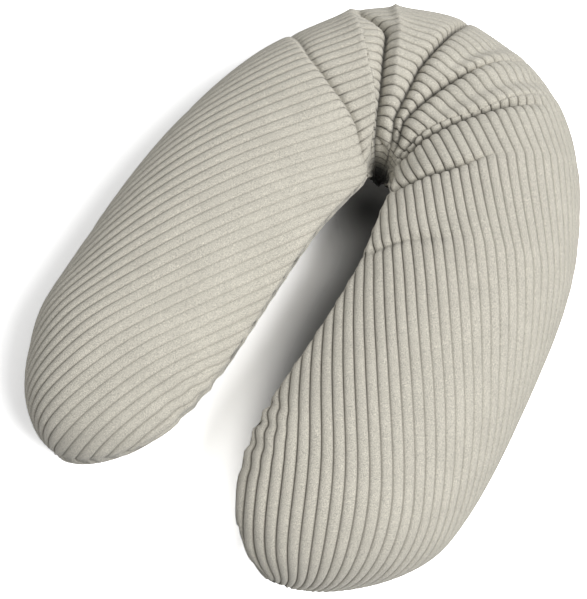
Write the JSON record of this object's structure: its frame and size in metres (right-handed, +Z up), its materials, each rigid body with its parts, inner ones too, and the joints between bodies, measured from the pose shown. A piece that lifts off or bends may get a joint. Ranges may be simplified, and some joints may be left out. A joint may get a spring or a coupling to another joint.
{
  "type": "pregnancy pillow",
  "caption": "Long crescent cushion in jumbo-rib plush, bent into a narrow U with puckered folds at the bend, lying flat with a gap between its arms.",
  "frame": {"origin": "on the surface it lies on, under the middle of the cushion's outline box", "axes": "+Z up, away from the surface; +Y towards the bend of the U, with the two open ends towards -Y; +X towards the fuller arm"},
  "size_m": [0.5542, 0.7409, 0.166],
  "materials": {
    "rib_plush": "matt greige jumbo-rib plush with a short soft pile"
  },
  "bodies": {
    "root": {"pillow": "rib_plush"}
  },
  "joints": []
}
